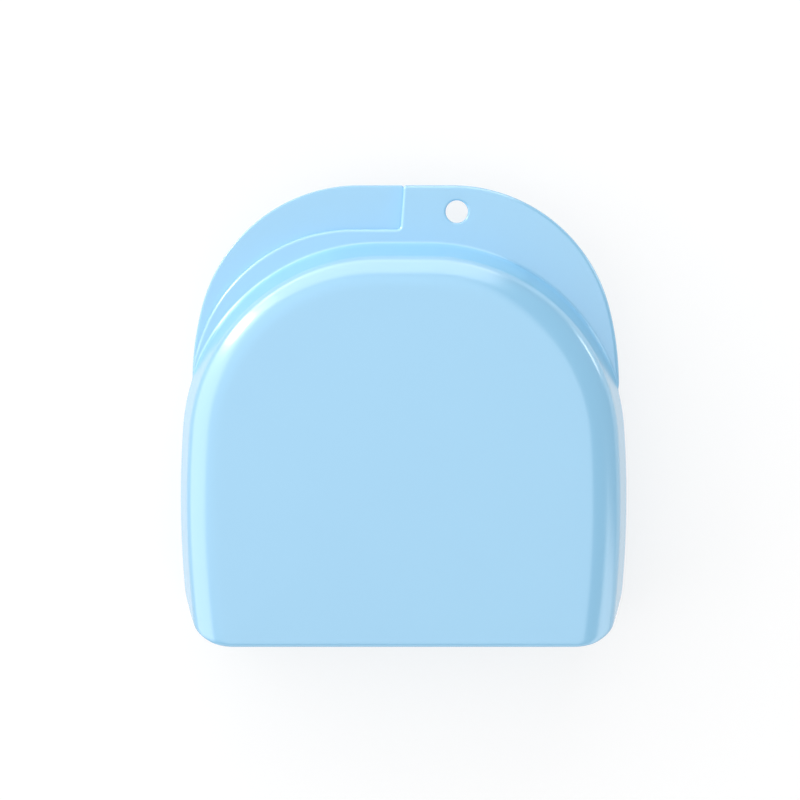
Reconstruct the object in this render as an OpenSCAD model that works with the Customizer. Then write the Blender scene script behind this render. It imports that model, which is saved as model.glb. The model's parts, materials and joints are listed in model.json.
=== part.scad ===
// Denture case: a two-part plastic clamshell with a D-shaped body, a big rounded edge
// round each face, overlapping finger tabs at the front and a pinned hinge at the back.
// The case lies on its base. +X is right, +Y runs from the hinge to the finger tabs and
// +Z runs up through the lid. The origin is the middle of the box round the closed case, at its foot.

/* [Body] */
// Width of the body at its widest place
body_w = 80.2; // [78:0.2:86]
// Distance from the hinge wall to the crown of the arched wall
body_d = 70.6; // [68:0.2:73]
// Height of the closed case
case_h = 30; // [27:0.5:36]
// Radius of the gently bowed sides
side_r = 186; // [160:1:220]
// Distance from the hinge wall to the widest place
widest_y = 24; // [18:0.5:30]
// Radius of the arch on each side of the crown
arch_r = 35.4; // [33:0.1:37]
// Radius of the upright corners at the hinge wall
corner_r = 9.5; // [7:0.5:12]
// Radius of the edge where the wall turns over
edge_r = 3; // [2.2:0.1:4]
// Radius of the shoulder between that edge and the face
shoulder_r = 8; // [6:0.5:10]
// Slope of the shoulder where it leaves the edge, in degrees
shoulder_slope = 35; // [25:1:45]
// Bevel along the face's edge at the hinge wall
hinge_edge = 0.4; // [0.2:0.1:0.8]
// Lean of the walls from upright, in degrees
draft = 11; // [6:0.5:14]

/* [Walls] */
// Thickness of the walls and faces
wall_t = 1.6; // [1.2:0.1:2]
// Thickness of the hinge wall
hinge_wall_t = 2; // [1.8:0.1:2.6]
// Thickness of the flange, the tabs and the narrow rim
flange_t = 2; // [1.6:0.1:2.4]

/* [Finger tabs and rim] */
// Distance from the hinge wall to the straight front edge of the tabs
tab_d = 81; // [79:0.2:84]
// Distance from the middle of the case to the end of that straight edge
tab_flat = 8.6; // [6:0.2:11]
// How much narrower the base's tab is than the lid's
base_tab_in = 0.6; // [0:0.1:1]
// Radius of the tab's shoulder
tab_shoulder_r = 29.2; // [27:0.2:31]
// Radius of the tab's long side
tab_side_r = 54; // [48:0.5:62]
// Angle at which the shoulder runs into the long side, in degrees
tab_turn = 15; // [12:1:18]
// Distance from the hinge wall to the front of the narrow rim
rim_d = 73.2; // [72.6:0.1:74]
// Radius of the narrow rim's edge
rim_r = 29.1; // [28:0.1:30]
// Distance from the middle of the case to the end of the rim's straight front edge
rim_flat = 9; // [8:0.2:10]
// Lean of the tab's edge at the notch, in degrees
notch_lean = 3.4; // [0:0.2:5]
// How far that edge lies past the middle of the case, so that one tab overlaps the other
notch_past = 0.35; // [0.1:0.05:0.5]
// Radius of the tab's corner at the notch
tab_corner_r = 0.7; // [0.5:0.1:1]
// Radius of the hanging hole
hole_r = 2; // [1.5:0.1:2.5]
// Distance of the hanging hole from the middle of the case
hole_x = 9.5; // [8:0.5:12]
// Distance of the hanging hole from the hinge wall
hole_y = 76.3; // [76:0.1:77.5]

/* [Lip and catch] */
// Height of the lip above the parting line
lip_h = 2.4; // [1.6:0.2:3]
// Thickness of the lip
lip_t = 1; // [0.8:0.1:1.4]
// Depth of the lip's foot below the parting line
lip_foot = 2.6; // [2:0.2:4]
// Gap between the lip and the lid's wall
lip_gap = 0.3; // [0.25:0.05:0.4]
// Radius of the snap bead on the lip
bead_r = 0.6; // [0.4:0.1:0.8]
// How far the bead stands proud of the lip
bead_proud = 0.2; // [0.1:0.05:0.2]
// Length of the snap bead, over the crown
bead_l = 7; // [5:0.5:8]

/* [Hinge] */
// Radius of the hinge pins
pin_r = 0.75; // [0.6:0.05:0.8]
// Outer radius of the knuckles
knuckle_r = 1.6; // [1.5:0.05:1.8]
// Distance of the hinge axis outside the hinge wall
hinge_out = 0.7; // [0.6:0.05:0.9]
// Distance of each hinge station from the middle of the case
station_x = 21; // [16:1:22]
// Length of the lid's knuckle
lid_knuckle_l = 6.4; // [5:0.2:8]
// Length of each of the base's knuckles
base_knuckle_l = 3.6; // [3:0.2:5]
// Gap between knuckles, and between a knuckle and the wall beside it
knuckle_gap = 0.2; // [0.15:0.05:0.3]
// Radial clearance of the pin in the lid's knuckle
pin_clearance = 0.05; // [0.02:0.01:0.1]
// Radial interference of the pin in the base's knuckles
pin_press = 0.01; // [0:0.01:0.02]

/* [Hidden] */
$fn = 96;
over = 1;
half_h = case_h / 2;
half_w = body_w / 2;
sides = [-1, 1];
// Hinge wall's place in Y: the box from the knuckles' backs to the tabs' fronts is centred
wall_y = (hinge_out + knuckle_r - tab_d) / 2;
axis_y = wall_y - hinge_out;
// Centres of the arcs that the body's plan is made of, and the angle at which arch meets side
side_c = [half_w - side_r, wall_y + widest_y];
arch_cy = wall_y + body_d - arch_r;
arch_turn = asin((arch_cy - side_c.y) / (side_r - arch_r));
arch_c = [side_c.x + (side_r - arch_r) * cos(arch_turn), arch_cy];
corner_c = corner_centre(0, 0);
corner_turn = asin((corner_c.y - side_c.y) / (side_r - corner_r));
// Point inside the body that its outlines are seen from
eye = [0, wall_y + body_d / 2];
// Points along each stretch of the half outline, from the middle of the hinge wall to the crown
hinge_steps = 4;
corner_steps = 12;
side_steps = 8;
arch_steps = 28;
crown_steps = 2;
edge_steps = 4;
shoulder_steps = 4;
// Points along the arcs round the tab and the rim, and the angle at which the tab's long side starts
tab_steps = 20;
tab_side_steps = 6;
tab_side_from = -8;
tab_corner_steps = 4;
rim_steps = 24;
// Centres of the arcs round the tab and the rim
tab_cy = wall_y + tab_d - tab_shoulder_r;
rim_cy = wall_y + rim_d - rim_r;
notch_run = (tab_d - rim_d) * tan(notch_lean) / 2;
tip_x = notch_run - notch_past;
root_x = -notch_run - notch_past;
// The lip and the snap bead
lip_out = wall_t + lip_gap;
lip_in = lip_out + lip_t;
bead_y = wall_y + body_d - lip_out + bead_proud - bead_r;
// Hinge stations
knuckle_step = (lid_knuckle_l + base_knuckle_l) / 2 + knuckle_gap;
pin_l = lid_knuckle_l + 2 * (base_knuckle_l + knuckle_gap);
case_blue = [0.66, 0.84, 0.96];
pin_steel = [0.78, 0.79, 0.8];

function arc(c, r, from, to, steps) =
    [for (i = [0:steps]) let (a = from + (to - from) * i / steps) c + r * [cos(a), sin(a)]];

// Right half of the body's outline on the parting line, from the hinge wall to the crown
half_outline = concat(
    [for (i = [0:hinge_steps - 1]) [corner_c.x * i / hinge_steps, wall_y]],
    arc(corner_c, corner_r, -90, corner_turn, corner_steps),
    [for (i = [1:side_steps - 1]) let (a = corner_turn + (arch_turn - corner_turn) * i / side_steps)
        side_c + side_r * [cos(a), sin(a)]],
    arc(arch_c, arch_r, arch_turn, 90, arch_steps),
    [for (i = [1:crown_steps]) [arch_c.x * (1 - i / crown_steps), wall_y + body_d]]);
// Both halves, counter-clockwise from above, with the two points on the centre line kept once
sight = concat(half_outline, [for (i = [len(half_outline) - 2:-1:1])
    [-half_outline[i].x, half_outline[i].y]]);

// Distance from the eye, in the direction d, to the far side of a circle
function to_circle(d, c, r) = let (v = c - eye, b = v * d) b + sqrt(max(0, b * b - v * v + r * r));

// Distance in the direction d to the body's wall, inset by s: the crown, the arch or the bowed side
function to_wall(d, s) =
    let (crown = [arch_c.x, wall_y + body_d - s] - eye,
         shoulder = arch_c + (arch_r - s) * [cos(arch_turn), sin(arch_turn)] - eye)
    d.y * crown.x > d.x * crown.y ? crown.y / d.y
    : d.y * shoulder.x > d.x * shoulder.y ? to_circle(d, arch_c, arch_r - s)
    : to_circle(d, side_c, side_r - s);

// Centre of the hinge wall's corner where that wall is inset by t and the side by k: the arc of radius
// corner_r - k touches both
function corner_centre(t, k) = let (y = wall_y + t + corner_r - k)
    [side_c.x + sqrt(pow(side_r - corner_r, 2) - pow(y - side_c.y, 2)), y];

// Distance in the direction d to the hinge wall or its upright corner, or far away in front of them
function to_hinge(d, t, k) =
    let (c = corner_centre(t, k),
         flat = [c.x, wall_y + t] - eye,
         touch = c + (corner_r - k) * (c - side_c) / (side_r - corner_r) - eye)
    d.y >= 0 || d.y * touch.x > d.x * touch.y ? 2 * tab_d
    : d.y * flat.x > d.x * flat.y ? to_circle(d, c, corner_r - k)
    : flat.y / d.y;

// Outline of the body: its wall inset by s, cut by the hinge wall inset by t and by its corners inset by k
function outline(s, t, k) = [for (p = sight)
    let (v = p - eye, d = [abs(v.x), v.y] / norm(v), r = min(to_wall(d, s), to_hinge(d, t, k)))
    eye + r * [sign(v.x) * d.x, d.y]];

// Rings of the wall's skin from the parting line up, each [height, inset of the wall, of the hinge wall,
// of its corners]: a wall of thickness s and t, leaning from the flange up, then an edge of radius r and a
// shoulder of radius q up to the face at height h
function wall_rings(s, t, h, r, q) =
    let (turn = 90 - shoulder_slope,
         edge_cz = h - q * (1 - sin(turn)) - r * sin(turn),
         leaned = s + (edge_cz + r * sin(draft) - flange_t) * tan(draft),
         turned = leaned + r * (cos(draft) - cos(turn)))
    concat([[0, s, t, s], [flange_t, s, t, s]],
           [for (i = [0:edge_steps]) let (a = draft + (turn - draft) * i / edge_steps)
               [edge_cz + r * sin(a), leaned + r * (cos(draft) - cos(a)), t, s]],
           [for (i = [1:shoulder_steps])
               let (a = turn + shoulder_slope * i / shoulder_steps,
                    bevel = i < shoulder_steps ? 0 : hinge_edge)
               [h - q * (1 - sin(a)), turned + q * (cos(turn) - cos(a)), t + bevel, s + bevel]]);

// One closed skin carried over a list of rings, each end closed by a fan round its middle
module skin(rings) {
    n = len(sight);
    last = len(rings) - 1;
    loops = [for (ring = rings) [for (p = outline(ring[1], ring[2], ring[3])) [p.x, p.y, ring[0]]]];
    middles = [[eye.x, eye.y, rings[0][0]], [eye.x, eye.y, rings[last][0]]];
    points = concat([for (loop = loops) each loop], middles);
    walls = [for (i = [0:last - 1], k = [0:n - 1])
        [i * n + k, (i + 1) * n + k, (i + 1) * n + (k + 1) % n, i * n + (k + 1) % n]];
    first_cap = [for (k = [0:n - 1]) [k, (k + 1) % n, (last + 1) * n]];
    last_cap = [for (k = [0:n - 1]) [last * n + (k + 1) % n, last * n + k, (last + 1) * n + 1]];
    polyhedron(points, concat(first_cap, walls, last_cap));
}

// Wall and face of one moulding, standing on the parting line: down the inside, then up the outside
module half_body() {
    inside = wall_rings(wall_t, hinge_wall_t, half_h - wall_t, edge_r - wall_t, shoulder_r - wall_t);
    skin(concat([for (i = [len(inside) - 1:-1:0]) inside[i]],
                wall_rings(0, 0, half_h, edge_r, shoulder_r)));
}

// Finger tab to the right of the notch, with a straight front edge out to flat, and narrow rim to its left
module flange(flat) {
    tip_y = wall_y + tab_d;
    rim_y = wall_y + rim_d;
    side_arc_c = [flat, tab_cy] - (tab_side_r - tab_shoulder_r) * [cos(tab_turn), sin(tab_turn)];
    linear_extrude(flange_t) difference() {
        union() {
            polygon(concat(
                [[root_x, arch_cy], [half_w / 2, arch_cy]],
                arc(side_arc_c, tab_side_r, tab_side_from, tab_turn, tab_side_steps),
                arc([flat, tab_cy], tab_shoulder_r, tab_turn, 90, tab_steps),
                arc([tip_x + tab_corner_r, tip_y - tab_corner_r], tab_corner_r, 90, 180, tab_corner_steps),
                [[root_x, rim_y]]));
            polygon(concat(
                [[over, rim_y]],
                arc([-rim_flat, rim_cy], rim_r, 90, 180, rim_steps),
                [[-half_w / 2, rim_cy - over], [over, rim_cy - over]]));
        }
        polygon(outline(wall_t / 2, hinge_wall_t / 2, wall_t / 2));
    }
}

// Knuckles of one moulding at both hinge stations, with the webs that join them to its wall above
module knuckles(offsets, length) {
    for (side = sides, dx = offsets) translate([side * station_x + dx - length / 2, axis_y, 0]) {
        rotate([0, 90, 0]) cylinder(r = knuckle_r, h = length);
        cube([length, hinge_out + hinge_wall_t / 2, knuckle_r]);
    }
}

// Room round the other moulding's knuckles, or a bore for the pins
module hinge_bores(offsets, length, r) {
    for (side = sides, dx = offsets) translate([side * station_x + dx - length / 2, axis_y, 0])
        rotate([0, 90, 0]) cylinder(r = r, h = length);
}

// Lip that stands up inside the lid's wall, on a foot inside the base's wall, with its snap bead
module lip() {
    difference() {
        union() {
            translate([0, 0, -over]) linear_extrude(lip_h + over)
                polygon(outline(lip_out, hinge_wall_t + lip_gap, lip_out));
            translate([0, 0, -lip_foot]) linear_extrude(lip_foot)
                polygon(outline(wall_t - over / 2, hinge_wall_t - over / 2, wall_t - over / 2));
        }
        translate([0, 0, -lip_foot - over]) linear_extrude(lip_foot + lip_h + 2 * over)
            polygon(outline(lip_in, hinge_wall_t + lip_gap + lip_t, lip_in));
    }
    translate([-bead_l / 2, bead_y, lip_h / 2]) rotate([0, 90, 0]) cylinder(r = bead_r, h = bead_l);
}

module base_shell() {
    color(case_blue) translate([0, 0, half_h]) {
        difference() {
            union() {
                rotate([0, 180, 0]) difference() {
                    union() {
                        half_body();
                        flange(tab_flat - base_tab_in);
                    }
                    hinge_bores([0], lid_knuckle_l + 2 * knuckle_gap, knuckle_r + knuckle_gap);
                }
                rotate([0, 180, 0]) knuckles([-knuckle_step, knuckle_step], base_knuckle_l);
            }
            hinge_bores([0], pin_l + 2 * over, pin_r - pin_press);
        }
        lip();
    }
}

module lid_shell() {
    color(case_blue) translate([0, 0, half_h]) difference() {
        union() {
            difference() {
                union() {
                    half_body();
                    flange(tab_flat);
                }
                hinge_bores([-knuckle_step, knuckle_step], base_knuckle_l + 2 * knuckle_gap,
                            knuckle_r + knuckle_gap);
            }
            knuckles([0], lid_knuckle_l);
        }
        hinge_bores([0], pin_l + 2 * over, pin_r + pin_clearance);
        translate([hole_x, wall_y + hole_y, -over]) cylinder(r = hole_r, h = flange_t + 2 * over);
        translate([-bead_l / 2 - lip_gap, bead_y, lip_h / 2]) rotate([0, 90, 0])
            cylinder(r = bead_r + lip_gap, h = bead_l + 2 * lip_gap);
    }
}

module hinge_pin(side) {
    color(pin_steel) translate([side * station_x - pin_l / 2, axis_y, half_h]) rotate([0, 90, 0])
        cylinder(r = pin_r, h = pin_l);
}

base_shell();
lid_shell();
hinge_pin(-1);  // hinge_pin_left
hinge_pin(1);  // hinge_pin_right
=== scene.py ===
import json

import bpy
import numpy as np
from mathutils import Matrix, Vector

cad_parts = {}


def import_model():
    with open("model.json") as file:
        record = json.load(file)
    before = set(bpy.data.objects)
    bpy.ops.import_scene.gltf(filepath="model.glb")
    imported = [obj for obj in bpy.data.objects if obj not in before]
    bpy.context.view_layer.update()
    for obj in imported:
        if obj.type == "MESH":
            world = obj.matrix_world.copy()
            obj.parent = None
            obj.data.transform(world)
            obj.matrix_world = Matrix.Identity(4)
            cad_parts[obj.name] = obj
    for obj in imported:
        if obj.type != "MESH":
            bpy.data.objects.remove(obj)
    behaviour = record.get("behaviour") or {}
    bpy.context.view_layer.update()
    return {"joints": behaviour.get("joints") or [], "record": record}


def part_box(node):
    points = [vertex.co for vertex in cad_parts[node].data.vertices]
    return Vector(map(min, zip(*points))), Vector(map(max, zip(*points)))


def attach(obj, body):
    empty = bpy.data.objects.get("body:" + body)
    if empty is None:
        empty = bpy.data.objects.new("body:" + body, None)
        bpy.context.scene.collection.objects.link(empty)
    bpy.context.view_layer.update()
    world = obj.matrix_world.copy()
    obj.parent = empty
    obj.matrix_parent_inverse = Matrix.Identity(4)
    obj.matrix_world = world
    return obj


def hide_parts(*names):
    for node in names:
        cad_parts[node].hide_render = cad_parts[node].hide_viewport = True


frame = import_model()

MM = 0.001

# ---------------------------------------------------------------- sizes taken from the frame
HINGE = next(j for j in frame["joints"] if j["name"] == "lid_hinge")
HOLE = next(m for m in frame["record"]["mounts"] if m["name"] == "hanging_hole")
AXIS_Y = HINGE["pos_m"][1] / MM
PARTING = HINGE["pos_m"][2] / MM
HALF_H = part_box("lid_shell")[1][2] / MM - PARTING
HALF_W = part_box("lid_shell")[1][0] / MM
TIP_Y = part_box("lid_shell")[1][1] / MM
HOLE_C = np.array(HOLE["pos_m"]) / MM
HOLE_R = HOLE["dims"]["r_mm"]

# ---------------------------------------------------------------- sizes shared with the solids
HINGE_OUT = 0.7
WALL_Y = AXIS_Y + HINGE_OUT
BODY_D = 70.6
SIDE_R = 186.0
WIDEST_Y = 24.0
ARCH_R = 35.4
CORNER_R = 9.5
EDGE_R = 3.0
SHOULDER_R = 8.0
SHOULDER_TURN = np.radians(55)
DRAFT = np.radians(11)
WALL_T = 1.6
HINGE_WALL_T = 2.0
FLANGE_T = 2.0
TAB_FLAT = 8.6
BASE_TAB_IN = 0.6
TAB_SHOULDER_R = 29.2
TAB_SIDE_R = 54.0
TAB_TURN = np.radians(15)
RIM_D = 73.2
RIM_R = 29.1
RIM_FLAT = 9.0
NOTCH_LEAN = np.radians(3.4)
NOTCH_PAST = 0.35
LIP_H = 2.4
LIP_T = 1.0
LIP_FOOT = 2.6
LIP_GAP = 0.3
BEAD_R = 0.6
BEAD_PROUD = 0.2
BEAD_L = 7.0
PIN_R = 0.75
PIN_CLEARANCE = 0.05
STATION_X = 21.0
LID_KNUCKLE_L = 6.4
BASE_KNUCKLE_L = 3.6
KNUCKLE_GAP = 0.2
# A hair less than the solids' 1.6, so that the knuckles stay inside the CAD box
KNUCKLE_R = 1.59

# ---------------------------------------------------------------- small roundings, only here
TAB_CORNER_R = 0.7
TAB_EDGE_R = 0.65
PARTING_EDGE_R = 0.25
FOOT_R = 0.5
HINGE_EDGE_R = 0.7
LIP_EDGE_R = 0.3
HOLE_EDGE_R = 0.35
KNUCKLE_EDGE_R = 0.25
PIN_EDGE_R = 0.2
FACE_CROWN = 0.2
BEAD_FADE = 0.8
# Width over which the crease between the leaning wall and the hinge wall's corner is rounded
CUT_BLEND = 0.5
# The most of the flange's reach that its edge and the fillet at the wall's foot may take
EDGE_SHARE = 0.45
FOOT_SHARE = 0.4
# Where the flange reaches less than this, it runs out into the wall
BARE_REACH = 0.6
# The least that these are taken as where something is divided by them
LEAST_BLEND = 0.001
LEAST_REACH = 1e-6
# Places along X on the crown at which the feet of the notch, of its root and of the rim begin
NOTCH_FEET = (2.6, 0.35, -1.1)
# Edges that turn more than this are shaded sharp
SHARP_TURN = np.radians(40)

# ---------------------------------------------------------------- fits of the cuts, only here
# A cut runs this far past what it goes through
CUT_PAST = 0.5
# Each end of a pocket stops this short, so that its face doesn't coincide with the next knuckle's
POCKET_SHY = 0.01
# A web starts this far off the parting plane, for the same reason
WEB_START = 0.04
# The solids' pins are pressed into the base, and here its bores are a hair wider than the pins
BASE_BORE_GAP = 0.005

# ---------------------------------------------------------------- how finely it is drawn
# Points along each stretch of the flange's outline
HINGE_POINTS = 14
CORNER_POINTS = 26
SIDE_POINTS = 26
LOW_ARCH_POINTS = 6
TAB_SIDE_POINTS = 18
SHOULDER_POINTS = 64
TAB_FRONT_POINTS = 10
RIM_FRONT_POINTS = 12
NOTCH_POINTS = 12
NOTCH_CORNER_POINTS = 9
# Steps of the edge's arc and of the shoulder's, then of the small roundings
INSIDE_TURN_STEPS = (6, 8)
OUTSIDE_TURN_STEPS = (18, 16)
PARTING_EDGE_STEPS = 5
PARTING_CORNER_STEPS = 4
TAB_EDGE_STEPS = 9
FOOT_STEPS = 7
LIP_TOP_STEPS = 13
ROD_END_STEPS = 5
HOLE_EDGE_STEPS = 8
# Rings of the groove and of the bead, and sides of the round pieces
CATCH_STEPS = 18
ROD_SIDES = 64
KNUCKLE_POINTS = 40
HOLE_SIDES = 72
# Heights of the walls' rings, from the parting line
INSIDE_WALL_HEIGHTS = (10, 8, 5.5, 3.6)
OUTSIDE_WALL_HEIGHTS = (3.0, 5.0, 7.0, 9.0, 10.6)
LIP_INSIDE_HEIGHTS = (LIP_FOOT, 1.0, -1.0)
# Where the close rings of the groove begin, and where those of the bead end
GROOVE_FROM = 2.6
BEAD_TO = 0.1
# Sizes of the faces' rings, as shares of the ring at the face's edge
INSIDE_FACE_SHARES = (0.3, 0.6, 0.85, 0.97, 0.995)
OUTSIDE_FACE_SHARES = (0.99, 0.95, 0.88, 0.78, 0.66, 0.52, 0.38, 0.24, 0.12)
# Places of the rings across the flange's two faces, as shares of the way
FLANGE_TOP_SHARES = (0.04, 0.35, 0.7, 0.96)
PARTING_SHARES = (0.1, 0.5, 0.94)


def unit(angle):
    """Unit vectors at these angles from +X, one per row."""
    return np.stack([np.cos(angle), np.sin(angle)], axis=-1)


def quarter(steps):
    """Angles over a quarter turn, with both ends."""
    return np.linspace(0, np.pi / 2, steps)


# ---------------------------------------------------------------- places worked out from the sizes
SIDE_C = np.array([HALF_W - SIDE_R, WALL_Y + WIDEST_Y])
ARCH_CY = WALL_Y + BODY_D - ARCH_R
ARCH_TURN = np.arcsin((ARCH_CY - SIDE_C[1]) / (SIDE_R - ARCH_R))
ARCH_C = SIDE_C + (SIDE_R - ARCH_R) * unit(ARCH_TURN)
CORNER_TURN = np.arcsin((WALL_Y + CORNER_R - SIDE_C[1]) / (SIDE_R - CORNER_R))
CORNER_C = SIDE_C + (SIDE_R - CORNER_R) * unit(CORNER_TURN)
# The eye is the point in plan that every ring goes round
EYE = np.array([0.0, WALL_Y + BODY_D / 2])
CROWN_Y = WALL_Y + BODY_D
RIM_Y = WALL_Y + RIM_D
RIM_C = np.array([-RIM_FLAT, RIM_Y - RIM_R])
NOTCH_RUN = (TIP_Y - RIM_Y) * np.tan(NOTCH_LEAN) / 2
TIP_X = NOTCH_RUN - NOTCH_PAST + TAB_CORNER_R
ROOT_X = -NOTCH_RUN - NOTCH_PAST - TAB_CORNER_R
LIP_OUT = WALL_T + LIP_GAP
LIP_IN = LIP_OUT + LIP_T
KNUCKLE_STEP = (LID_KNUCKLE_L + BASE_KNUCKLE_L) / 2 + KNUCKLE_GAP
PIN_L = LID_KNUCKLE_L + 2 * (BASE_KNUCKLE_L + KNUCKLE_GAP)
FAR_AWAY = 4 * HALF_W


# ---------------------------------------------------------------- plan of the body
def to_circle(ray, centre, radius):
    """Distance along each ray from the eye to the far side of a circle: the larger root of the quadratic
    in the distance."""
    offset = centre - EYE
    nearest = ray @ offset
    return nearest + np.sqrt(np.maximum(0, nearest * nearest - offset @ offset + radius * radius))


def to_wall(ray, inset):
    """Distance to the body's wall, drawn in by the inset: a straight crown, then the arch, then the bowed
    side, taken by where the ray passes the joints between them."""
    crown = np.stack([ARCH_C[0] + 0 * inset, CROWN_Y - inset - EYE[1]], axis=-1)
    joint = ARCH_C - EYE + (ARCH_R - inset)[..., None] * unit(ARCH_TURN)
    above_crown = ray[:, 1] * crown[..., 0] > ray[:, 0] * crown[..., 1]
    above_joint = ray[:, 1] * joint[..., 0] > ray[:, 0] * joint[..., 1]
    straight = crown[..., 1] / np.where(ray[:, 1] > 0, ray[:, 1], 1)
    arch = to_circle(ray, ARCH_C, ARCH_R - inset)
    side = to_circle(ray, SIDE_C, SIDE_R - inset)
    return np.where(above_crown, straight, np.where(above_joint, arch, side))


def to_hinge(ray, inset, corner_in):
    """Distance to the hinge wall, drawn in by the inset, or to its upright corner, whose radius is smaller by
    corner_in and whose arc touches both that wall and the side drawn in by corner_in. Rays that pass in front
    of both are given a distance far away."""
    radius = CORNER_R - corner_in
    centre_y = WALL_Y + inset + radius
    centre_x = SIDE_C[0] + np.sqrt((SIDE_R - CORNER_R) ** 2 - (centre_y - SIDE_C[1]) ** 2)
    centre = np.array([centre_x, centre_y]) - EYE
    flat_y = WALL_Y + inset - EYE[1]
    touch = centre + radius * (centre + EYE - SIDE_C) / (SIDE_R - CORNER_R)
    ahead = (ray[:, 1] >= 0) | (ray[:, 1] * touch[0] > ray[:, 0] * touch[1])
    past_flat = ray[:, 1] * centre[0] > ray[:, 0] * flat_y
    corner = to_circle(ray, centre + EYE, radius)
    straight = flat_y / np.where(ray[:, 1] < 0, ray[:, 1], -1)
    return np.where(ahead, FAR_AWAY, np.where(past_flat, corner, straight))


def soft_min(a, b, width):
    """The smaller of a and b, with the crease between them rounded over this width: less a quarter of the
    width times the square of how near they are."""
    near = np.maximum(width - np.abs(a - b), 0) / width
    return np.minimum(a, b) - near * near * width / 4


def outline(sight, wall_in, hinge_in=0.0, corner_in=0.0):
    """Points of the body's outline along each sight line: its wall inset by wall_in, one value or one for
    each line, and cut by the hinge wall inset by hinge_in and by that wall's corners inset by corner_in. The
    crease where the leaning wall is cut is rounded, by no more than the wall leans away from the corner."""
    ray = np.stack([np.abs(sight[:, 0]), sight[:, 1]], axis=-1)
    wall_in = np.asarray(wall_in, float) + np.zeros(len(sight))
    blend = np.clip(wall_in - corner_in, LEAST_BLEND, CUT_BLEND)
    distance = soft_min(to_wall(ray, wall_in), to_hinge(ray, hinge_in, corner_in), blend)
    return EYE + distance[:, None] * sight


# ---------------------------------------------------------------- plan of the flange
def circles_meet(centre0, r0, centre1, r1):
    """The point where two circles cross that is further out from the middle of the case, from the triangle
    of their centres."""
    step = centre1 - centre0
    gap = np.hypot(*step)
    along = (gap * gap + r0 * r0 - r1 * r1) / (2 * gap)
    off = np.sqrt(r0 * r0 - along * along)
    side = np.array([-step[1], step[0]]) / gap
    points = [centre0 + step / gap * along + k * off * side for k in (-1, 1)]
    return max(points, key=lambda p: abs(p[0]))


def arc(centre, radius, start, stop, n):
    """n points along an arc, leaving out the last."""
    return centre + radius * unit(np.linspace(start, stop, n, endpoint=False))


def line(a, b, n):
    """n points along a straight stretch, leaving out the last."""
    return np.asarray(a) + np.linspace(0, 1, n, endpoint=False)[:, None] * (np.asarray(b) - a)


def angle_about(centre, point):
    """The angle from +X at which the centre sees the point."""
    return np.arctan2(point[1] - centre[1], point[0] - centre[0])


def walk(points):
    """Share of the way along a row of points, from 0 to 1."""
    steps = np.hypot(*np.diff(points, axis=0).T)
    return np.concatenate([[0], np.cumsum(steps)]) / steps.sum()


def along_body(start_angle, distance):
    """Points of the wall's outline these distances past start_angle on the right arch: up that arch, over
    the crown and down the left arch, each turned into an angle or a place along X."""
    climb = ARCH_R * (np.pi / 2 - start_angle)
    flat = 2 * ARCH_C[0]
    right = ARCH_C + ARCH_R * unit(start_angle + distance / ARCH_R)
    top = np.stack([ARCH_C[0] - (distance - climb), CROWN_Y + 0 * distance], axis=-1)
    left = ARCH_C * [-1, 1] + ARCH_R * unit(np.pi / 2 + (distance - climb - flat) / ARCH_R)
    over = (distance > climb)[:, None]
    down = (distance > climb + flat)[:, None]
    return np.where(down, left, np.where(over, top, right))


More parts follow.
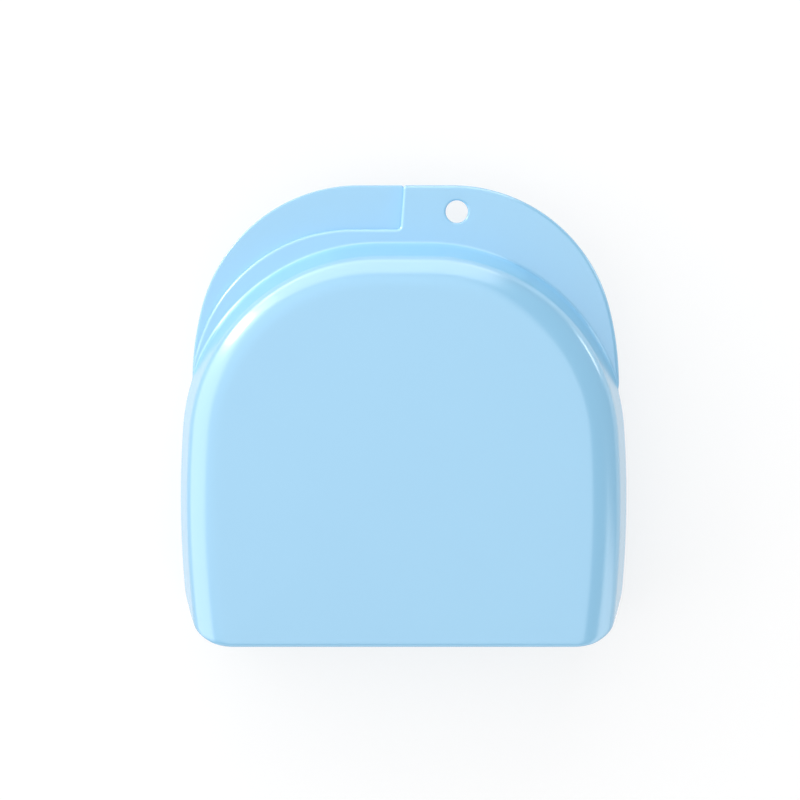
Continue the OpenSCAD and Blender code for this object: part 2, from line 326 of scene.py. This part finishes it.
def flange_edge(tab_flat):
    """The flange's outline counter-clockwise from the middle of the hinge wall, for a tab whose straight
    front edge ends at tab_flat, and for each of its points the one at the wall's foot that it is joined to.
    The tab is on the right, the narrow rim on the left. Elsewhere the flange has no width, and the two
    points are the same."""
    tab_c = np.array([tab_flat, TIP_Y - TAB_SHOULDER_R])
    tab_side_c = tab_c - (TAB_SIDE_R - TAB_SHOULDER_R) * unit(TAB_TURN)
    tab_meets = circles_meet(tab_side_c, TAB_SIDE_R, ARCH_C, ARCH_R)
    rim_meets = circles_meet(RIM_C, RIM_R, ARCH_C * [-1, 1], ARCH_R)
    tab_from = angle_about(ARCH_C, tab_meets)
    rim_from = np.pi - angle_about(ARCH_C * [-1, 1], rim_meets)

    hinge = line([0, WALL_Y], [CORNER_C[0], WALL_Y], HINGE_POINTS)
    corner = arc(CORNER_C, CORNER_R, -np.pi / 2, CORNER_TURN, CORNER_POINTS)
    side = arc(SIDE_C, SIDE_R, CORNER_TURN, ARCH_TURN, SIDE_POINTS)
    low_arch = arc(ARCH_C, ARCH_R, ARCH_TURN, tab_from, LOW_ARCH_POINTS)
    low_rim = arc(ARCH_C, ARCH_R, ARCH_TURN, rim_from, LOW_ARCH_POINTS)
    body_right = np.concatenate([hinge, corner, side, low_arch])
    body_left = np.concatenate([hinge[1:], corner, side, low_rim])[::-1] * [-1, 1]

    tab = np.concatenate([
        arc(tab_side_c, TAB_SIDE_R, angle_about(tab_side_c, tab_meets), TAB_TURN, TAB_SIDE_POINTS),
        arc(tab_c, TAB_SHOULDER_R, TAB_TURN, np.pi / 2, SHOULDER_POINTS),
        line([tab_flat, TIP_Y], [TIP_X, TIP_Y], TAB_FRONT_POINTS)])
    tip_c = np.array([TIP_X, TIP_Y - TAB_CORNER_R])
    root_c = np.array([ROOT_X, RIM_Y + TAB_CORNER_R])
    tip_end = tip_c + TAB_CORNER_R * unit(np.pi - NOTCH_LEAN)
    root_start = root_c + TAB_CORNER_R * unit(-NOTCH_LEAN)
    notch = np.concatenate([
        arc(tip_c, TAB_CORNER_R, np.pi / 2, np.pi - NOTCH_LEAN, NOTCH_CORNER_POINTS),
        line(tip_end, root_start, NOTCH_POINTS)])
    root = arc(root_c, TAB_CORNER_R, -NOTCH_LEAN, -np.pi / 2, NOTCH_CORNER_POINTS)
    rim = np.concatenate([
        line([ROOT_X, RIM_Y], [-RIM_FLAT, RIM_Y], RIM_FRONT_POINTS),
        arc(RIM_C, RIM_R, np.pi / 2, angle_about(RIM_C, rim_meets), SHOULDER_POINTS), [rim_meets]])

    climb = ARCH_R * (np.pi / 2 - tab_from)
    descent = ARCH_R * (np.pi / 2 - rim_from)
    marks = [0, *(climb + ARCH_C[0] - x for x in NOTCH_FEET), climb + 2 * ARCH_C[0] + descent]
    parts = [tab, notch, root, rim]
    feet = []
    for part, after, start, stop in zip(parts, [*parts[1:], rim[:0]], marks, marks[1:]):
        share = walk(np.concatenate([part, after[:1]]))[:len(part)]
        feet.append(along_body(tab_from, start + (stop - start) * share))
    edge = np.concatenate([body_right, *parts, body_left])
    return edge, np.concatenate([body_right, *feet, body_left])


def outward(points):
    """Outward normals of a closed counter-clockwise outline, from the chord over each point's neighbours."""
    chord = np.roll(points, -1, axis=0) - np.roll(points, 1, axis=0)
    chord /= np.hypot(*chord.T)[:, None]
    return np.stack([chord[:, 1], -chord[:, 0]], axis=-1)


class Plan:
    """One moulding seen from above: its flange's edge and the edge's normals, the sight lines from the eye
    through the wall's foot at each of its points, and how far the flange reaches out from that foot."""

    def __init__(self, tab_flat):
        self.edge, foot = flange_edge(tab_flat)
        self.normal = outward(self.edge)
        self.sight = (foot - EYE) / np.hypot(*(foot - EYE).T)[:, None]
        self.foot = outline(self.sight, 0.0)
        self.reach = np.hypot(*(self.edge - self.foot).T)


# ---------------------------------------------------------------- rings of the two skins
def level(points, height):
    """A ring: points in plan at one height, or at one height each, above the parting line."""
    return np.column_stack([points, np.zeros(len(points)) + height])


def lean(height):
    """Inset of the leaning wall at a height, none below the flange's top."""
    return np.maximum(height - FLANGE_T, 0) * np.tan(DRAFT)


def hinge_edge(height, top):
    """Inset of the hinge wall near the face's edge: a quarter circle in section."""
    up = np.clip((height - (top - HINGE_EDGE_R)) / HINGE_EDGE_R, 0, 1)
    return HINGE_EDGE_R * (1 - np.sqrt(1 - up * up))


def turning(top, edge_r, shoulder_r, edge_steps, shoulder_steps):
    """Inset and height of the wall as it turns over to a face at the height top: an arc of radius edge_r
    from the wall's lean to the shoulder's slope, then an arc of radius shoulder_r that ends level."""
    edge = np.linspace(DRAFT, SHOULDER_TURN, edge_steps)
    shoulder = np.linspace(SHOULDER_TURN, np.pi / 2, shoulder_steps)[1:]
    edge_cz = top - shoulder_r * (1 - np.sin(SHOULDER_TURN)) - edge_r * np.sin(SHOULDER_TURN)
    edge_in = lean(edge_cz + edge_r * np.sin(DRAFT)) + edge_r * (np.cos(DRAFT) - np.cos(edge))
    shoulder_in = edge_in[-1] + shoulder_r * (np.cos(SHOULDER_TURN) - np.cos(shoulder))
    heights = [edge_cz + edge_r * np.sin(edge), top - shoulder_r * (1 - np.sin(shoulder))]
    return np.concatenate([edge_in, shoulder_in]), np.concatenate(heights)


def face_rings(edge, top, shares, crown):
    """Rings of a face from its edge towards the middle: the edge's outline drawn in to each share of its
    size, rising over the crown as one less the share squared."""
    return [level(EYE + (edge - EYE) * f, top + crown * (1 - f * f)) for f in shares]


def inside(plan, wall_in, height):
    """A ring of the tray's inside at this height: the wall drawn in by its thickness and by wall_in."""
    return level(outline(plan.sight, WALL_T + wall_in, HINGE_WALL_T, WALL_T), height)


def inner_rings(plan):
    """The inside from the middle of the face to just above the flange, top first."""
    top = HALF_H - WALL_T
    insets, heights = turning(top, EDGE_R - WALL_T, SHOULDER_R - WALL_T, *INSIDE_TURN_STEPS)
    turn = [inside(plan, wall_in, z) for wall_in, z in zip(insets, heights)]
    wall = [inside(plan, lean(z), z) for z in INSIDE_WALL_HEIGHTS]
    return face_rings(turn[-1][:, :2], top, INSIDE_FACE_SHARES, 0) + turn[::-1] + wall


def flange_rings(plan):
    """The flange's edge, its top and the small fillet at the wall's foot. The edge is a quarter circle below
    and one above, and the fillet is an arc up to the wall's lean. Where the flange runs out into the wall,
    the same rings are spread up the wall instead, blended in by a smooth step over the last of its reach."""
    bare = np.clip(1 - plan.reach / BARE_REACH, 0, 1)[:, None]
    bare = bare * bare * (3 - 2 * bare)
    edge_r = np.minimum(TAB_EDGE_R, EDGE_SHARE * plan.reach)[:, None]
    foot_r = np.minimum(FOOT_R, FOOT_SHARE * plan.reach)[:, None]
    away = (plan.edge - plan.foot) / np.maximum(plan.reach, LEAST_REACH)[:, None]
    rings = []
    for a in quarter(PARTING_EDGE_STEPS):
        points = plan.edge - plan.normal * PARTING_EDGE_R * (1 - np.sin(a))
        rings.append(level(points, PARTING_EDGE_R * (1 - np.cos(a))))
    stages = [(plan.edge - plan.normal * edge_r * (1 - np.cos(a)), FLANGE_T - edge_r * (1 - np.sin(a)))
              for a in quarter(TAB_EDGE_STEPS)]
    start = stages[-1][0]
    finish = plan.foot + away * foot_r
    stages += [(start + (finish - start) * f, FLANGE_T + 0 * edge_r) for f in FLANGE_TOP_SHARES]
    stages += [(plan.foot + away * foot_r * (1 - np.sin(a)), FLANGE_T + foot_r * (1 - np.cos(a)))
               for a in np.linspace(0, np.pi / 2 - DRAFT, FOOT_STEPS)]
    spread = np.linspace(FLANGE_T - TAB_EDGE_R, FLANGE_T + FOOT_R * (1 - np.sin(DRAFT)), len(stages))
    for (points, z), bare_z in zip(stages, spread):
        mixed = points * (1 - bare) + outline(plan.sight, lean(bare_z)) * bare
        rings.append(level(mixed, (z * (1 - bare) + bare_z * bare)[:, 0]))
    return rings


def outer_rings(plan, crown):
    """The outside from the parting line to the middle of the face: the flange, the leaning wall, the
    rounded edge, the shoulder and the face."""
    top = HALF_H - crown
    wall = [level(outline(plan.sight, lean(z)), z) for z in OUTSIDE_WALL_HEIGHTS]
    insets, heights = turning(top, EDGE_R, SHOULDER_R, *OUTSIDE_TURN_STEPS)
    turn = []
    for wall_in, z in zip(insets, heights):
        hinge_in = hinge_edge(z, top)
        turn.append(level(outline(plan.sight, wall_in, hinge_in, hinge_in), z))
    edge = outline(plan.sight, insets[-1], HINGE_EDGE_R, HINGE_EDGE_R)
    return flange_rings(plan) + wall + turn + face_rings(edge, top, OUTSIDE_FACE_SHARES, crown)


def bead(plan, height, radius, length):
    """How far the snap bead, or the groove that takes it, stands out at this height above or below the
    parting line, along the crown: the cap of a circle in section, fading out past its ends by a smooth
    step."""
    half_chord = np.sqrt(np.clip(radius ** 2 - (height - LIP_H / 2) ** 2, 0, None))
    cap = np.maximum(half_chord - (radius - BEAD_PROUD), 0)
    along = np.clip((length / 2 + BEAD_FADE - np.abs(plan.foot[:, 0])) / BEAD_FADE, 0, 1)
    along = along * (plan.foot[:, 1] > EYE[1])
    return cap * along * along * (3 - 2 * along)


def parting_rings(plan, wall_in, hinge_in, corner_in, edge_r):
    """From a wall's inner foot, rounded by edge_r, across the parting face towards the flange's edge."""
    turn = quarter(PARTING_CORNER_STEPS) if edge_r else [np.pi / 2]
    rings = []
    for a in turn:
        back = edge_r * (1 - np.cos(a))
        points = outline(plan.sight, wall_in - back, hinge_in - back, corner_in)
        rings.append(level(points, edge_r * (1 - np.sin(a))))
    near = rings[-1][:, :2]
    far = plan.edge - plan.normal * PARTING_EDGE_R
    return rings + [level(near + (far - near) * f, 0) for f in PARTING_SHARES]


def lid_rings(plan):
    """The lid: inside with the groove that takes the snap bead, parting face, then outside."""
    groove = []
    for z in np.linspace(GROOVE_FROM, PARTING_EDGE_R, CATCH_STEPS)[:-1]:
        cut = bead(plan, z, BEAD_R + LIP_GAP, BEAD_L + 2 * LIP_GAP)
        groove.append(inside(plan, lean(z) - cut, z))
    foot = parting_rings(plan, WALL_T, HINGE_WALL_T, WALL_T, PARTING_EDGE_R)
    return inner_rings(plan) + groove + foot + outer_rings(plan, FACE_CROWN)


def base_rings(plan):
    """The base: inside, the step under the lip's foot, up the lip, over its rounded top and down its outside
    past the bead, the parting face, then the outside. Heights count down into the base, so they are negative
    where the lip stands past the parting line."""
    lip_front = HINGE_WALL_T + LIP_GAP
    lip_back = lip_front + LIP_T
    rings = inner_rings(plan)
    rings += [level(outline(plan.sight, LIP_IN, lip_back, LIP_IN), z) for z in LIP_INSIDE_HEIGHTS]
    for a in np.linspace(0, np.pi, LIP_TOP_STEPS):
        back = LIP_EDGE_R * (1 - np.cos(a))
        if a > np.pi / 2:
            back = LIP_T - LIP_EDGE_R * (1 + np.cos(a))
        z = -(LIP_H - LIP_EDGE_R * (1 - np.sin(a)))
        rings.append(level(outline(plan.sight, LIP_IN - back, lip_back - back, LIP_IN - back), z))
    for z in np.linspace(-LIP_H + LIP_EDGE_R, -BEAD_TO, CATCH_STEPS)[1:]:
        proud = bead(plan, -z, BEAD_R, BEAD_L)
        rings.append(level(outline(plan.sight, LIP_OUT - proud, lip_front, LIP_OUT), z))
    return rings + parting_rings(plan, LIP_OUT, lip_front, LIP_OUT, 0) + outer_rings(plan, 0)


# ---------------------------------------------------------------- meshes
def ring_quads(rows, columns):
    """Quads between neighbouring closed rings, as rows of corner numbers."""
    i, k = np.meshgrid(np.arange(rows - 1), np.arange(columns), indexing="ij")
    k2 = (k + 1) % columns
    quads = [i * columns + k, i * columns + k2, (i + 1) * columns + k2, (i + 1) * columns + k]
    return np.stack(quads, -1).reshape(-1, 4)


def middle_fans(rows, columns):
    """A fan of triangles over the first ring and one over the last, round two middles that come after all
    the rings' points."""
    k = np.arange(columns)
    k2 = (k + 1) % columns
    last = (rows - 1) * columns
    first_fan = np.stack([0 * k + rows * columns, k2, k], -1)
    last_fan = np.stack([0 * k + rows * columns + 1, last + k, last + k2], -1)
    return np.concatenate([first_fan, last_fan])


def mesh_object(name, points, face_sets):
    """A mesh object at the origin from points in millimetres and rows of corner numbers."""
    mesh = bpy.data.meshes.new(name)
    mesh.from_pydata((np.asarray(points) * MM).tolist(), [], [f for rows in face_sets for f in rows.tolist()])
    mesh.polygons.foreach_set("use_smooth", np.ones(len(mesh.polygons), bool))
    mesh.validate()
    mesh.update()
    piece = bpy.data.objects.new(name, mesh)
    bpy.context.scene.collection.objects.link(piece)
    return piece


def skin(name, rings, place):
    """One closed skin over the rings, whose middles are closed by fans. place moves the points from the
    moulding's own upright position to where it lies in the frame."""
    rings = np.stack(rings)
    rows, columns, _ = rings.shape
    middles = [[*EYE, rings[0, 0, 2]], [*EYE, HALF_H]]
    points = np.concatenate([rings.reshape(-1, 3), middles])
    return mesh_object(name, place(points), [ring_quads(rows, columns), middle_fans(rows, columns)])


def up_from_parting(points):
    """Raised to the parting line."""
    return points + [0, 0, PARTING]


def down_from_parting(points):
    """Given half a turn about a line along Y and raised to the parting line."""
    return points * [-1, 1, -1] + [0, 0, PARTING]


lid = skin("lid_moulding", lid_rings(Plan(TAB_FLAT)), up_from_parting)
base = skin("base_moulding", base_rings(Plan(TAB_FLAT - BASE_TAB_IN)), down_from_parting)
for piece, node, body in ((lid, "lid_shell", "lid"), (base, "base_shell", "base")):
    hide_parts(node)
    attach(piece, body)


# ---------------------------------------------------------------- holes, pockets, knuckles and pins
def tubes(name, ring_sets):
    """One mesh object of closed tubes, a separate shell over each set of rings: quads between the rings, and
    the two end rings as single faces."""
    points, faces, start = [], [], 0
    for rings in ring_sets:
        rows, columns, _ = rings.shape
        first = np.arange(columns)
        last = rows * columns - 1 - first
        points.append(rings.reshape(-1, 3))
        faces += [start + ring_quads(rows, columns)[:, ::-1], start + first[None], start + last[None]]
        start += rows * columns
    return mesh_object(name, np.concatenate(points), faces)


def rod_rings(xs, radii):
    """Circles of these radii at these places along X, about the hinge axis."""
    a = np.linspace(0, 2 * np.pi, ROD_SIDES, endpoint=False)
    return np.stack([np.stack([x + 0 * a, AXIS_Y + r * np.cos(a), PARTING + r * np.sin(a)], -1)
                     for x, r in zip(xs, radii)])


def rods(name, places, length, radius):
    """Rods with sharp ends about the hinge axis, one at each place along X."""
    ends = np.array([-length / 2, length / 2])
    return tubes(name, [rod_rings(ends + x, [radius, radius]) for x in places])


def rounded_ends(length, radius, edge_r):
    """Places and radii along a rod whose two end edges are quarter circles in section."""
    a = quarter(ROD_END_STEPS)
    x = np.concatenate([edge_r * (1 - np.sin(a[::-1])), length - edge_r * (1 - np.sin(a))])
    r = np.concatenate([radius - edge_r * (1 - np.cos(a[::-1])), radius - edge_r * (1 - np.cos(a))])
    order = np.argsort(x, kind="stable")
    return x[order] - length / 2, r[order]


def knuckle_rings(x, length, up):
    """A knuckle with its web: its section is a circle about the hinge axis joined on one side, above the
    parting plane or below it, by a flat web that runs into the wall. The section is drawn in towards both
    ends by a quarter circle."""
    xs, insets = rounded_ends(length, 0.0, KNUCKLE_EDGE_R)
    into_wall = HINGE_OUT + HINGE_WALL_T / 2
    rings = []
    for along, inset in zip(xs, -insets):
        r = KNUCKLE_R - inset
        round_part = r * unit(np.linspace(np.pi / 2, 2 * np.pi, KNUCKLE_POINTS))
        section = np.concatenate([[[into_wall, WEB_START], [into_wall, r]], round_part, [[r, WEB_START]]])
        section = section[::-1] if up else section * [1, -1]
        rings.append(np.column_stack([np.full(len(section), x + along), section + [AXIS_Y, PARTING]]))
    return np.stack(rings)


def hole_cutter():
    """A spool round the hanging hole's axis: straight through the tab, flaring out over a quarter circle
    at both faces, so that what it leaves has rounded edges."""
    a = quarter(HOLE_EDGE_STEPS)
    flare_z = PARTING + HOLE_EDGE_R * (1 - np.cos(a))
    flare_r = HOLE_R + HOLE_EDGE_R * (1 - np.sin(a))
    above_z = 2 * PARTING + FLANGE_T - flare_z
    z = np.concatenate([[PARTING - CUT_PAST], flare_z, above_z[::-1], [PARTING + FLANGE_T + CUT_PAST]])
    r = np.concatenate([flare_r[:1], flare_r, flare_r[::-1], flare_r[:1]])
    turn = np.linspace(0, 2 * np.pi, HOLE_SIDES, endpoint=False)
    rings = [np.stack([HOLE_C[0] + q * np.cos(turn), HOLE_C[1] - q * np.sin(turn), h + 0 * turn], -1)
             for h, q in zip(z, r)]
    return tubes("hole_cutter", [np.stack(rings)])


def boolean(piece, cutter, operation):
    """Joins the cutter's solid to the piece or takes it away, and removes the cutter. The result is shaded
    smooth but for its sharp edges."""
    step = piece.modifiers.new(operation, "BOOLEAN")
    step.operation = operation
    step.object = cutter
    step.solver = "EXACT"
    made = bpy.data.meshes.new_from_object(piece.evaluated_get(bpy.context.evaluated_depsgraph_get()))
    piece.modifiers.clear()
    made.polygons.foreach_set("use_smooth", np.ones(len(made.polygons), bool))
    made.set_sharp_from_angle(angle=SHARP_TURN)
    old = piece.data
    piece.data = made
    bpy.data.meshes.remove(old)
    bpy.data.objects.remove(cutter)


def add_hinge(piece, own, own_l, other, other_l, bore_r, up):
    """Pockets for the other moulding's knuckles, then this moulding's own, then their bores."""
    pocket_l = other_l + 2 * KNUCKLE_GAP - 2 * POCKET_SHY
    boolean(piece, rods("pockets", other, pocket_l, KNUCKLE_R + KNUCKLE_GAP), "DIFFERENCE")
    boolean(piece, tubes("knuckles", [knuckle_rings(x, own_l, up) for x in own]), "UNION")
    boolean(piece, rods("bores", own, own_l + 2 * CUT_PAST, bore_r), "DIFFERENCE")


STATIONS = {"hinge_pin_left": -STATION_X, "hinge_pin_right": STATION_X}
LID_KNUCKLES = list(STATIONS.values())
BASE_KNUCKLES = [x + dx for x in LID_KNUCKLES for dx in (-KNUCKLE_STEP, KNUCKLE_STEP)]
add_hinge(lid, LID_KNUCKLES, LID_KNUCKLE_L, BASE_KNUCKLES, BASE_KNUCKLE_L, PIN_R + PIN_CLEARANCE, True)
add_hinge(base, BASE_KNUCKLES, BASE_KNUCKLE_L, LID_KNUCKLES, LID_KNUCKLE_L, PIN_R + BASE_BORE_GAP, False)
boolean(lid, hole_cutter(), "DIFFERENCE")

pins = []
for name, x in STATIONS.items():
    pin = tubes(name + "_wire", [rod_rings(*rounded_ends(PIN_L, PIN_R, PIN_EDGE_R)) + [x, 0, 0]])
    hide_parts(name)
    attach(pin, "base")
    pins.append(pin)


# ---------------------------------------------------------------- materials
class Number:
    """A shader's socket: an expression on these adds its Math nodes."""

    def __init__(self, graph, socket):
        self.graph = graph
        self.socket = socket

    def _math(self, operation, a, b):
        return self.graph.node("ShaderNodeMath", {"operation": operation}, {0: a, 1: b})["Value"]

    def __add__(self, other):
        return self._math("ADD", self, other)

    def __sub__(self, other):
        return self._math("SUBTRACT", self, other)

    def __rsub__(self, other):
        return self._math("SUBTRACT", other, self)

    def __mul__(self, other):
        return self._math("MULTIPLY", self, other)

    __radd__ = __add__
    __rmul__ = __mul__


class Graph:
    """A material's nodes."""

    def __init__(self, name):
        self.material = bpy.data.materials.new(name)
        self.material.use_nodes = True
        self.tree = self.material.node_tree
        self.tree.nodes.clear()

    def node(self, kind, settings, values):
        """Adds a node, makes its settings, then sets or links its sockets. Gives its outputs by name."""
        made = self.tree.nodes.new(kind)
        for key, value in settings.items():
            setattr(made, key, value)
        for key, value in values.items():
            socket = made.inputs[key]
            if isinstance(value, Number):
                self.tree.links.new(value.socket, socket)
            else:
                socket.default_value = value
        return {s.name: Number(self, s) for s in made.outputs if s.enabled}

    def coordinates(self, stretch=(1, 1, 1), turn=(0, 0, 0)):
        """Object coordinates, stretched and then turned."""
        here = self.node("ShaderNodeTexCoord", {}, {})["Object"]
        return self.node("ShaderNodeMapping", {}, {
            "Vector": here, "Scale": stretch, "Rotation": turn})["Vector"]

    def noise(self, place, scale, detail):
        """Noise of about -1 to 1 over the place, at this many grains to its unit."""
        found = self.node("ShaderNodeTexNoise", {}, {"Vector": place, "Scale": scale, "Detail": detail})
        return found["Fac"] * 2 - 1

    def blend(self, noise, a, b):
        """A colour from a to b as the noise goes from -1 to 1. Sockets 6 and 7 are the Mix node's colours."""
        share = noise * 0.5 + 0.5
        return self.node("ShaderNodeMix", {"data_type": "RGBA"}, {0: share, 6: a, 7: b})["Result"]

    def principled(self, values):
        return self.node("ShaderNodeBsdfPrincipled", {}, values)["BSDF"]

    def finish(self, shader):
        self.node("ShaderNodeOutputMaterial", {}, {"Surface": shader})
        return self.material


def srgb(r, g, b):
    """A colour as shown on a screen, 0 to 255, as the linear one that shaders take."""
    c = np.array([r, g, b]) / 255
    return (*np.where(c <= 0.04045, c / 12.92, ((c + 0.055) / 1.055) ** 2.4).tolist(), 1)


# Colours, and how many grains of each pattern there are to a metre, along X, Y and Z where they differ
DEEP_BLUE = (0.262, 0.575, 0.832, 1)
PALE_BLUE = (0.274, 0.595, 0.847, 1)
DARK_STEEL = srgb(176, 178, 180)
LIGHT_STEEL = srgb(214, 215, 216)
FLOW_GRAINS = 35
WAVE_GRAINS = 60
SPECK_GRAINS = 900
SMEAR_GRAINS = (260, 35, 120)
SMEAR_TURN = (0, 0, 0.5)
STREAK_GRAINS = (300, 9000, 9000)
# Depth and strength of the sink waves, and how deep the specks are beside them
WAVE_DEPTH = 0.2
WAVE_STRENGTH = 0.12
SPECK_SHARE = 0.03


def case_plastic():
    """Light-blue polypropylene: a faint flow tint, soft sink waves with fine specks, and a little handling
    wear in its roughness, under a clear gloss. The gloss is the coat's alone, and its high index gives the
    edges their bright lines."""
    g = Graph("case_plastic")
    place = g.coordinates()
    flow = g.noise(place, FLOW_GRAINS, detail=2.0)
    smear = g.noise(g.coordinates(SMEAR_GRAINS, SMEAR_TURN), 1.0, detail=3.0)
    speck = g.noise(place, SPECK_GRAINS, detail=2.0)
    wave = g.noise(place, WAVE_GRAINS, detail=1.0)
    height = wave + speck * SPECK_SHARE
    bump = g.node("ShaderNodeBump", {}, {
        "Strength": WAVE_STRENGTH, "Distance": WAVE_DEPTH * MM, "Height": height})["Normal"]
    return g.finish(g.principled({
        "Base Color": g.blend(flow, DEEP_BLUE, PALE_BLUE),
        "Roughness": 0.32 + smear * 0.03 + flow * 0.02,
        "Normal": bump,
        "Specular IOR Level": 0.0,
        "Coat Weight": 1.0,
        "Coat IOR": 2.2,
        "Coat Roughness": 0.2}))


def pin_steel():
    """Drawn steel wire: fine streaks along the pin in its colour and roughness."""
    g = Graph("pin_steel")
    streak = g.noise(g.coordinates(STREAK_GRAINS), 1.0, detail=2.0)
    return g.finish(g.principled({
        "Base Color": g.blend(streak, DARK_STEEL, LIGHT_STEEL),
        "Metallic": 1.0,
        "Roughness": 0.3 + streak * 0.06}))


for pieces, material in (((lid, base), case_plastic()), (pins, pin_steel())):
    for piece in pieces:
        piece.data.materials.clear()
        piece.data.materials.append(material)


# ---------------------------------------------------------------- floor, lamps and camera
FLOOR_HALF = 3000.0
FLOOR_GREY = 0.35
FLOOR_GLOW = 0.66
WORLD_LEVEL = 0.42
SHINE_BACK = 40.0


def floor():
    """A plain pale floor. It also glows where the camera sees it, straight, in a reflection or through clear
    things, so that it is near white and keeps the shadow."""
    g = Graph("floor")
    seen = g.node("ShaderNodeLightPath", {}, {})
    showing = seen["Is Camera Ray"] + seen["Is Glossy Ray"] + seen["Is Transmission Ray"]
    diffuse = g.node("ShaderNodeBsdfDiffuse", {}, {"Color": (FLOOR_GREY, FLOOR_GREY, FLOOR_GREY, 1)})["BSDF"]
    glow = g.node("ShaderNodeEmission", {}, {
        "Color": (1, 1, 1, 1), "Strength": showing * FLOOR_GLOW})["Emission"]
    both = g.node("ShaderNodeAddShader", {}, {0: diffuse, 1: glow})["Shader"]
    corners = np.array([[-1, -1, 0], [1, -1, 0], [1, 1, 0], [-1, 1, 0]]) * FLOOR_HALF
    made = mesh_object("floor", corners, [np.array([[0, 1, 2, 3]])])
    made.data.materials.append(g.finish(both))


def softbox(name, place, target, size, radiance, shine_only=False):
    """A rectangular area lamp at this place in millimetres, facing the target with its height as upright as
    it goes, and as bright all over as a surface of this radiance: its power is pi times the radiance times
    its area. The camera doesn't see it. One for shine only shows in reflections and adds no other light."""
    lamp = bpy.data.lights.new(name, "AREA")
    lamp.shape = "RECTANGLE"
    lamp.size = size[0] * MM
    lamp.size_y = size[1] * MM
    lamp.energy = radiance * np.pi * size[0] * size[1] * MM * MM
    made = bpy.data.objects.new(name, lamp)
    made.location = Vector(place) * MM
    made.rotation_mode = "QUATERNION"
    made.rotation_quaternion = (Vector(target) - Vector(place)).to_track_quat("-Z", "Y")
    made.visible_camera = False
    made.visible_diffuse = not shine_only
    bpy.context.scene.collection.objects.link(made)


def shining_softbox(name, place, target, size, radiance, shine):
    """A softbox, and behind it one of its size for shine only. In one plane, one would hide the other."""
    softbox(name, place, target, size, radiance)
    back = (Vector(place) - Vector(target)).normalized() * SHINE_BACK
    softbox(name + "_shine", Vector(place) + back, target, size, shine, shine_only=True)


def world(level):
    """Plain white light from all round."""
    sky = bpy.data.worlds.new("studio")
    sky.use_nodes = True
    background = sky.node_tree.nodes["Background"]
    background.inputs["Color"].default_value = (1, 1, 1, 1)
    background.inputs["Strength"].default_value = level
    bpy.context.scene.world = sky


# The camera looks almost straight down on the lid, leaning a little towards the finger tabs
CAMERA_DISTANCE = 450.0
CAMERA_TILT = np.radians(4.5)
CAMERA_AIM = (-0.65, 3.1, PARTING)
PIXELS_PER_MM = 5.55
IMAGE_WIDTH = 800
SENSOR = 36.0
CLIP_NEAR_M = 0.01
CLIP_FAR_M = 100


def camera():
    """The lens is as long as makes a millimetre at the aim PIXELS_PER_MM wide: sensor times pixels to a
    millimetre times distance over the image's width."""
    lens = bpy.data.cameras.new("camera")
    lens.sensor_width = SENSOR
    lens.lens = SENSOR * PIXELS_PER_MM * CAMERA_DISTANCE / IMAGE_WIDTH
    lens.clip_start = CLIP_NEAR_M
    lens.clip_end = CLIP_FAR_M
    made = bpy.data.objects.new("camera", lens)
    back = Vector((0, np.sin(CAMERA_TILT), np.cos(CAMERA_TILT)))
    made.location = (Vector(CAMERA_AIM) + back * CAMERA_DISTANCE) * MM
    made.rotation_mode = "QUATERNION"
    made.rotation_quaternion = Matrix.Rotation(-CAMERA_TILT, 4, "X").to_quaternion()
    bpy.context.scene.collection.objects.link(made)
    bpy.context.scene.camera = made


floor()
shining_softbox("left_panel", (-600, 150, 400), (0, 150, 400), (1100, 800), 1.15, 0.6)
shining_softbox("left_strip", (-600, 200, 75), (0, 200, 75), (1000, 150), 2.2, 2.4)
shining_softbox("back_panel", (-150, 600, 400), (-150, 0, 400), (900, 800), 1.05, 0.7)
shining_softbox("back_strip", (-150, 600, 85), (-150, 0, 85), (900, 170), 4.0, 3.2)
softbox("overhead_panel", (-200, 150, 900), (-200, 150, 0), (900, 900), 0.82)
softbox("corner_strip", (-480, 340, 200), (0, 0, 30), (120, 400), 7.0, shine_only=True)
softbox("right_strip", (560, 260, 70), (0, 0, 30), (140, 130), 4.2)
softbox("right_panel", (550, -350, 250), (0, 0, 0), (500, 500), 1.3)
softbox("front_panel", (0, -600, 300), (0, 0, 300), (900, 500), 0.6)
world(WORLD_LEVEL)
camera()
bpy.context.scene.view_settings.view_transform = "Standard"
